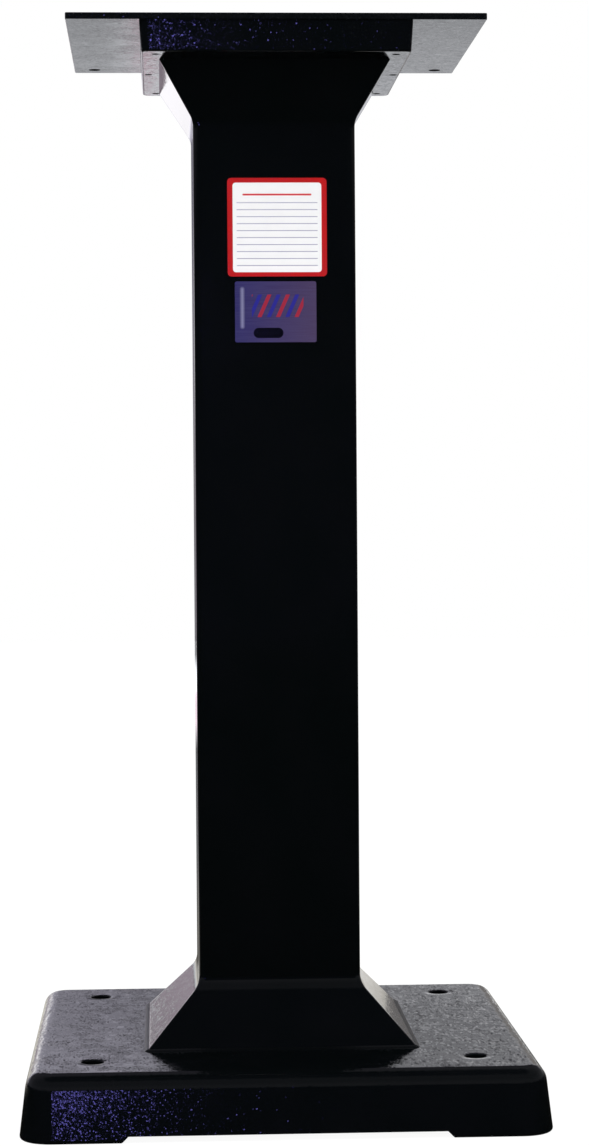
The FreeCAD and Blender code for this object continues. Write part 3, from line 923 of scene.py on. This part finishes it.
def hex_bolt():
    """A bolt with its head's face at the origin. Way is 1 to point up and -1 to point down."""
    shape = Shape("hex_bolt", Flats="Float", Head="Float", Shank="Float", Length="Float",
                  Tip="Float", Pitch="Float", Way="Float")

    def place(row, column):
        angle = column * (2 * math.pi / ring_points)
        face = shape.given("Flats") * face_share
        edge = hexagon(angle, shape.given("Flats") / 2)
        head = shape.given("Head")
        end = shape.given("Length")
        tip = shape.given("Tip")
        start = head + (end - head) * plain_share
        along, thread = threaded(shape, row, column, 7, bolt_rows - 3, start, end - tip)
        half = shape.given("Shank") / 2
        radius = steps(row, [0.0, face, edge, edge, face, face, half, thread])
        radius = radius + row.above(bolt_rows - 2.5) * (half - tip - thread)
        radius = radius * row.below(bolt_rows - 1.5)
        chamfer = (edge - face) * chamfer_slope
        rim = head - washer_face
        height = steps(row, [0.0, 0.0, chamfer, rim, rim, head, head, along])
        height = height + row.above(bolt_rows - 2.5) * (end - along)
        way = shape.given("Way")
        return shape.point(radius * angle.cosine(), radius * angle.sine() * way, height * way)

    shape.end(shape.loft(bolt_rows, ring_points + 1, place))
    return shape


bolt_tree = hex_bolt()
print("nodes in the bolt:", len(bolt_tree.tree.nodes))

# %% A countersunk screw
screw_rows = 80
mouth_share = 0.62               # the socket's eased mouth, half across, by its width
mouth_ease = 0.3 * mm
socket_point = 0.5 * mm          # the drill's mark in the socket's floor
rim_ease = 0.2 * mm
rim_height = 0.15 * mm
plain_neck = 0.8 * mm            # under the cone
thread_start = 1 * mm            # from the cone
screw_tip = 0.8 * mm


def flat_screw():
    """A countersunk screw with a hexagon socket, its head's face at the origin."""
    shape = Shape("flat_screw", Head="Float", Socket="Float", Socket_Depth="Float",
                  Shank="Float", Length="Float", Pitch="Float", Way="Float")

    def place(row, column):
        angle = column * (2 * math.pi / ring_points)
        socket = hexagon(angle, shape.given("Socket") / 2)
        mouth = shape.given("Socket") * mouth_share
        head = shape.given("Head") / 2
        half = shape.given("Shank") / 2
        depth = shape.given("Socket Depth")
        cone = head - half
        end = shape.given("Length")
        along, thread = threaded(shape, row, column, 8, screw_rows - 3, cone + thread_start,
                                 end - screw_tip)
        radius = steps(row, [0.0, socket, socket, mouth, head - rim_ease, head, half, half,
                             thread])
        radius = radius + row.above(screw_rows - 2.5) * (half - screw_tip - thread)
        radius = radius * row.below(screw_rows - 1.5)
        height = steps(row, [depth + socket_point, depth, mouth_ease, 0.0, 0.0, rim_height, cone,
                             cone + plain_neck, along])
        height = height + row.above(screw_rows - 2.5) * (end - along)
        way = shape.given("Way")
        return shape.point(radius * angle.cosine(), radius * angle.sine() * way, height * way)

    shape.end(shape.loft(screw_rows, ring_points + 1, place))
    return shape


screw_tree = flat_screw()
print("nodes in the screw:", len(screw_tree.tree.nodes))

# %% Flat washers and spring washers
def washer(split):
    """A ring with eased edges. A split one is a spring washer, open by a narrow slit."""
    shape = Shape("split_washer" if split else "flat_washer", Outer="Float", Hole="Float",
                  Thickness="Float", Edge="Float", Slit="Float")
    columns = ring_points + (3 if split else 1)

    def place(row, column):
        inner = shape.given("Hole") / 2
        outer = shape.given("Outer") / 2
        thick = shape.given("Thickness")
        edge = shape.given("Edge")
        radius = steps(row, [inner, inner + edge, outer - edge, outer, outer, outer - edge,
                             inner + edge, inner, inner])
        height = steps(row, [edge, 0.0, 0.0, edge, thick - edge, thick, thick, thick - edge,
                             edge])
        turn = column / ring_points * (2 * math.pi)
        if split:
            end = column.below(0.5) + column.above(columns - 1.5)
            radius = radius + ((inner + outer) / 2 - radius) * end
            height = height + (thick / 2 - height) * end
            opening = shape.given("Slit") / 2 / radius
            turn = opening + column.ramp(1, columns - 2) * (2 * math.pi - opening * 2)
        return shape.point(radius * turn.cosine(), radius * turn.sine(), height)

    shape.end(shape.loft(9, columns, place))
    return shape


flat_tree = washer(split=False)
split_tree = washer(split=True)
print("nodes in the washers:", len(flat_tree.tree.nodes), "and", len(split_tree.tree.nodes))

# %% [markdown]
# ## Setting the fasteners out
# The frame's own fasteners say where each one sits. Those places become the points of a
# small mesh, and one tree puts a copy of the fastener on each point, turned by chance, as a
# spanner would leave it. The pattern and the single fastener are taken away again.

# %% A tree that sets copies out
def set_out():
    """A copy of the fastener on each of the places, turned by chance up to a turn."""
    shape = Shape("set_out", Fastener="Object", Places="Object", Turn="Float", Seed="Int")
    fastener = shape.node("GeometryNodeObjectInfo", {}, {"Object": shape.given("Fastener")},
                          output="Geometry")
    places = shape.node("GeometryNodeObjectInfo", {}, {"Object": shape.given("Places")},
                        output="Geometry")
    turn = shape.node("FunctionNodeRandomValue", {"data_type": "FLOAT"},
                      {2: 0.0, 3: shape.given("Turn"), "Seed": shape.given("Seed")}, output=1)
    copies = shape.node("GeometryNodeInstanceOnPoints", {},
                        {"Points": places, "Instance": fastener,
                         "Rotation": shape.point(0.0, 0.0, turn)})
    shape.end(copies)
    return shape


set_out_tree = set_out()
print("nodes that set out:", len(set_out_tree.tree.nodes))

# %% Where the fasteners sit
def middles(node):
    """The middle of each separate part of a node, seen from above."""
    work = bmesh.new()
    work.from_mesh(frame["nodes"][node].data)
    bmesh.ops.remove_doubles(work, verts=work.verts, dist=seam / 2)
    waiting = set(work.verts)
    found = []
    while waiting:
        part = [waiting.pop()]
        for vertex in part:
            near = {edge.other_vert(vertex) for edge in vertex.link_edges} & waiting
            waiting -= near
            part.extend(near)
        found.append([(min(v.co[axis] for v in part) + max(v.co[axis] for v in part)) / 2
                      for axis in (0, 1)])
    work.free()
    return sorted(found)


for node in ("foot_bolts", "head_bolts", "plate_screws"):
    print(node, [(round(x / mm, 1), round(y / mm, 1)) for x, y in middles(node)])

# %% Bolts and washers
washer_edge = 0.25 * mm
spring_edge = 0.3 * mm
spring_slit = 1.6 * mm
washer_play = 1.0                # millimetres between a shank and its flat washer
spring_play = 0.4                # and its spring washer
sixth_turn = math.pi / 3
full_turn = 2 * math.pi


def fasten(shape, name, node, places_from, level, turn, seed, finish, **sizes):
    """Makes one fastener and sets it out at the places of a node."""
    master = run(shape, name + "_master", Finish=finish, **sizes)
    pattern = bpy.data.meshes.new(name + "_places")
    pattern.from_pydata([(x, y, level) for x, y in middles(places_from)], [], [])
    places = bpy.data.objects.new(name + "_places", pattern)
    scene.collection.objects.link(places)
    grow(set_out_tree, name, node, Fastener=master, Places=places, Turn=turn, Seed=seed,
         Finish=finish)
    for helper in (master, places):
        bpy.data.objects.remove(helper)


# Sizes in millimetres: over the head's flats, across the shank, of the tip's chamfer and from
# one turn of the thread to the next. Way is 1 for a bolt that points up and -1 for down.
Bolt = namedtuple("Bolt", "place flats shank tip pitch way seed")
bolts = (Bolt("foot", flats=19, shank=12, tip=1.4, pitch=1.75, way=1, seed=4),
         Bolt("head", flats=16, shank=10, tip=1.2, pitch=1.5, way=-1, seed=9))
for place, flats, shank, tip, pitch, way, seed in bolts:
    low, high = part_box(place + "_bolts")
    spring_low, spring_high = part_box(place + "_lock_washers")
    flat_low, flat_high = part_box(place + "_flat_washers")
    head_size = spring_low.z - low.z if way > 0 else high.z - spring_high.z
    middle = max(x for x, _ in middles(place + "_bolts"))
    fasten(bolt_tree, place + "_bolt_set", place + "_bolts", place + "_bolts",
           low.z if way > 0 else high.z, sixth_turn, seed, zinc, Flats=flats * mm,
           Head=head_size, Shank=shank * mm, Length=high.z - low.z, Tip=tip * mm,
           Pitch=pitch * mm, Way=float(way))
    fasten(flat_tree, place + "_flat_washer_set", place + "_flat_washers", place + "_bolts",
           flat_low.z, full_turn, seed + 1, zinc, Outer=2 * (flat_high.x - middle),
           Hole=(shank + washer_play) * mm, Thickness=flat_high.z - flat_low.z,
           Edge=washer_edge, Slit=0.0)
    fasten(split_tree, place + "_lock_washer_set", place + "_lock_washers", place + "_bolts",
           spring_low.z, full_turn, seed + 2, zinc, Outer=2 * (spring_high.x - middle),
           Hole=(shank + spring_play) * mm, Thickness=spring_high.z - spring_low.z,
           Edge=spring_edge, Slit=spring_slit)

# %% The plate's screws
screw_seed = 21                  # for the turn of each screw
screw_low, screw_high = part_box("plate_screws")
fasten(screw_tree, "plate_screw_set", "plate_screws", "plate_screws", screw_high.z,
       sixth_turn, screw_seed, oxide, Head=11 * mm, Socket=4 * mm, Socket_Depth=2.2 * mm,
       Shank=5.6 * mm, Length=screw_high.z - screw_low.z, Pitch=1.0 * mm, Way=-1.0)

# %% [markdown]
# ## Floor
# Glossy black paint shows little of its own colour. What is seen is what it mirrors, so the room
# matters as much as the paint. To the eye the floor is plain and white. To a reflection it is the
# floor of a real studio, with soft patches: a painted shadow round the stand, dark far out to both
# sides and in a strip behind the column, and light where the undersides of the head and the plate
# look. A Light Path node tells the two kinds of ray apart. Each patch has its place in metres from
# the stand's middle, so it stays where it is when the camera moves.

# %% Floor
floor_size = 16.0
floor_mesh = bpy.data.meshes.new("floor")
half = floor_size / 2
floor_mesh.from_pydata([(-half, -half, 0), (half, -half, 0), (half, half, 0), (-half, half, 0)],
                       [], [(0, 1, 2, 3)])
floor = bpy.data.objects.new("floor", floor_mesh)
scene.collection.objects.link(floor)
floor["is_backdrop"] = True
print("floor:", floor_size, "m wide")

# %% How light the floor is to a reflection
paper = Finish("floor_paper")
to_right, away, _ = paper.axes(paper.place)

# Dark round the stand: a painted shadow of the stand, which only reflections see. Behind it the
# floor gets light, later on the right, and beside the foot's left edge it is light at once.
near = (away - 0.1 - to_right.ramp(-0.2, 0.2) * 0.25).ramp(0.0, 0.62)
left_of_foot = (-0.19 - to_right).ramp(0.0, 0.05) * away.ramp(0.0, 0.2)
near = near + (1 - near) * left_of_foot * 0.9

# Far behind the stand it is light, most of all where the underside of the head looks.
far = 0.97 - 0.24 * away.ramp(1.2, 4.3) + 0.36 * away.ramp(4.5, 5.2)
under_head = away.between(3.2, 3.9, 6.0, 7.0)
far = far + 0.5 * under_head * to_right.close_to(-0.04, 0.10, 0.2)

# A dark strip lies behind the column, and far out to both sides it is dark as well.
strip = (to_right + away * 0.0125).close_to(-0.07, 0.04, 0.12)
far = far * (1 - 0.85 * strip * (1 - under_head))
far_aside = (to_right.size() - away * 0.25).ramp(0.3, 1.2)
far = far * (1 - 0.95 * far_aside)
far_left = (0 - to_right).ramp(0.4, 0.8)
far = far * (1 - 0.6 * far_left * (1 - away.ramp(4.2, 6.5)))
print("nodes for the floor's light:", len(paper.tree.nodes))

# %% The floor's colours
eye_white = (1.1, 1.1, 1.1, 1)
paper_white = (0.85, 0.85, 0.85, 1)
# the colour of the painted shadow round the stand and of the other dark patches, in reflections
floor_dark = (0.012, 0.010, 0.008, 1)
warm_near = (1.0, 0.96, 0.88, 1)
cool_far = (0.95, 0.97, 1.02, 1)
mauve_left = (0.56, 0.46, 0.54, 1)
rosy_patch = (0.85, 0.62, 0.72, 1)
own_light = 0.85                 # to the eye: the rest is lit by the lamps and keeps the shadow


def kinds_of_ray(tree):
    """Whether a ray is the eye's own, also through glass, and whether a gloss sent it."""
    ray = tree.node("ShaderNodeLightPath", output="Is Camera Ray")
    clear = (ray + ray.also("Is Transmission Ray")).at_most(1.0)
    return clear, ray.also("Is Glossy Ray")


clear, glossy = kinds_of_ray(paper)
tint = paper.mix(far_left, cool_far, mauve_left)
tint = paper.mix(away.ramp(0.8, 1.6), warm_near, tint)
blush = under_head * to_right.close_to(-0.118, 0.015, 0.04) * (1 - away.ramp(4.9, 5.1))
tint = paper.mix(blush, tint, rosy_patch)
mirrored = paper.mix(near * far, floor_dark, tint)
glow = paper.node("ShaderNodeEmission", {}, {"Color": paper.mix(glossy, eye_white, mirrored)})
lit = paper.node("ShaderNodeBsdfDiffuse", {}, {"Color": paper_white})
floor_share = clear * own_light + glossy
mixed = paper.node("ShaderNodeMixShader", {}, {0: floor_share, 1: lit, 2: glow})
paper.node("ShaderNodeOutputMaterial", {}, {"Surface": mixed})
floor_mesh.materials.append(paper.material)
print("floor nodes:", len(paper.tree.nodes))

# %% [markdown]
# ## The room
# The world works like the floor: white to the eye, uneven to a reflection. A direction is
# three numbers from -1 to 1: `side` is to the right, `ahead` is away behind the stand and
# `up` is height. Behind the stand is a light wall, with a darker band above it. The flares
# mirror the wall and the deck mirrors the band, just where it gets light again. In front of
# the stand the room is dark, so square on the paint stays black. A dim ring of light runs
# round the room above that, so that the deck and the plate show their gloss from behind and
# from above as well. A picture of a real room would do the same, but not in so few numbers.

# %% How light the wall is
world = bpy.data.worlds.new("studio")
world.use_nodes = True
world.node_tree.nodes.clear()
scene.world = world
sky = Tree(world.node_tree)
side, ahead, up = sky.axes(sky.node("ShaderNodeTexCoord", output="Generated"))

# The wall gets lighter from the floor up. The darker band starts lower behind the column than
# beside it, and just under it the wall is lightest to both sides.
right_half = side.ramp(-0.02, 0.06)
beside = (side.size() - right_half * 0.06).ramp(0.03, 0.17)
band = (up + 0.06 * (1 - beside)).ramp(0.075, 0.15)
wall_light = 0.65 + 0.5 * up.ramp(0.0, 0.065) - band * (0.66 - 0.27 * beside)
wall_light = wall_light + 0.8 * beside * up.between(0.03, 0.05, 0.08, 0.11)
print("nodes for the wall:", len(sky.tree.nodes))

# %% The heights that the deck mirrors
# The band gets light again at the height that the front of the deck mirrors. On its right
# half it is a little lighter lower down and darker above.
deck_back = up.ramp(0.170, 0.180)
deck_middle = up.ramp(0.172, 0.182)
deck_front = up.ramp(0.186, 0.192)
wall_light = wall_light + band * right_half * 0.14 * (1 - up.ramp(0.168, 0.182))
wall_light = wall_light + band * (0.5 * deck_front - 0.08 * deck_middle)
wall_light = wall_light - band * right_half * 0.3 * deck_back

# Low down the wall is dark behind the column and far to the right. Higher up it ends.
behind_column = side.close_to(-0.0125, 0.012, 0.035)
wall_light = wall_light * (1 - 0.75 * behind_column * (1 - up.ramp(0.13, 0.16)))
shaded = side.ramp(0.12, 0.16) * (1 - up.ramp(0.11, 0.16))
wall_light = wall_light * (1 - 0.78 * shaded) * (1 - up.ramp(0.21, 0.3))
print("nodes with the deck's band:", len(sky.tree.nodes))

# %% The ring of light and the room's colours
# The wall fills what lies ahead and the ring the rest. The ring leaves out the floor and the
# spot right overhead, and it is dimmer higher up.
wall_half = ahead.ramp(0.6, 0.95)
ring = (up + 0.08 * side.size()).ramp(0.17, 0.24) * (1 - up.ramp(0.88, 0.95))
ring = ring * (0.27 - 0.10 * up.ramp(0.3, 0.6))
light = wall_light * wall_half + ring * (1 - wall_half)

room_dark = (0.03, 0.025, 0.04, 1)
wall_tint = (0.99, 0.97, 1.0, 1)
rosy_tint = (0.80, 0.66, 0.78, 1)
shade_tint = (1.0, 0.94, 0.86, 1)
band_left = (0.98, 0.95, 1.12, 1)
band_right = (0.96, 0.97, 1.02, 1)
soft_grey = (0.55, 0.55, 0.55, 1)      # what lights the dull surfaces

rosy = (0 - side).ramp(0.08, 0.14) * (1 - up.ramp(0.0, 0.05))
tint = sky.mix(rosy, wall_tint, rosy_tint)
tint = sky.mix(band, tint, sky.mix(right_half, band_left, band_right))
tint = sky.mix(shaded, tint, shade_tint)
clear, glossy = kinds_of_ray(sky)
unseen = sky.mix(glossy, soft_grey, sky.mix(light, room_dark, tint))
backdrop = sky.node("ShaderNodeBackground", {}, {"Color": sky.mix(clear, unseen, (1, 1, 1, 1))})
sky.node("ShaderNodeOutputWorld", {}, {"Surface": backdrop})
print("world nodes:", len(sky.tree.nodes))

# %% [markdown]
# ## Lamps
# Three soft white lamps light the card, the foil and the zinc. In the paint they would show
# as white discs, so reflections leave them out. Two weak blue lamps do the opposite: only
# reflections see them. They stand far in front of the stand and to its left, a low one for
# the foot and one as high as the head, and the lumps that lean their way catch them as sparks.

# %% Lamps
def soft_lamp(name, place, target, size, power, tint=(1, 1, 1)):
    """A round lamp at a place, turned to a target. Its size is in metres, its power in watts."""
    data = bpy.data.lights.new(name, "AREA")
    data.shape = "DISK"
    data.size = size
    data.energy = power
    data.color = tint
    lamp = bpy.data.objects.new(name, data)
    direction = Vector(target) - Vector(place)
    turn = direction.to_track_quat("-Z", "Y").to_matrix().to_4x4()
    lamp.matrix_world = Matrix.Translation(place) @ turn
    scene.collection.objects.link(lamp)
    return lamp


top_lamp = soft_lamp("top_lamp", (0.3, -0.2, 2.6), (0, 0, 0.4), 1.6, 18)
left_lamp = soft_lamp("left_lamp", (-1.9, -1.6, 1.9), (0, 0, 0.45), 1.2, 32)
right_lamp = soft_lamp("right_lamp", (2.1, -1.2, 1.2), (0, 0, 0.45), 1.0, 18)
for lamp in (top_lamp, left_lamp, right_lamp):
    lamp.visible_glossy = False
    print(lamp.name, lamp.data.energy, "W")

# %% The lamps that make the sparks
blue = (0.27, 0.24, 1.0)
low_spark = soft_lamp("low_spark", (-0.34, -3.0, 0.24), (-0.34, 0, 0.24), 0.34, 2.4, blue)
low_spark.data.shape = "ELLIPSE"
low_spark.data.size_y = 0.14
high_spark = soft_lamp("high_spark", (-0.23, -3.0, 0.79), (-0.23, 0, 0.79), 0.2, 0.052, blue)
high_spark.data.spread = math.radians(20)
for spark in (low_spark, high_spark):
    spark.visible_diffuse = False
    spark.visible_camera = False
    print(spark.name, round(spark.data.energy, 3), "W")

# %% [markdown]
# ## The finished model's size
# The finished model is measured here. Its box should be the same as the packed frame's, because a
# finish may round an edge but it doesn't change how big the stand is.

# %% Measure the finished model
low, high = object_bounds()
print("visual box:", [round(size, 4) for size in high - low], "m")
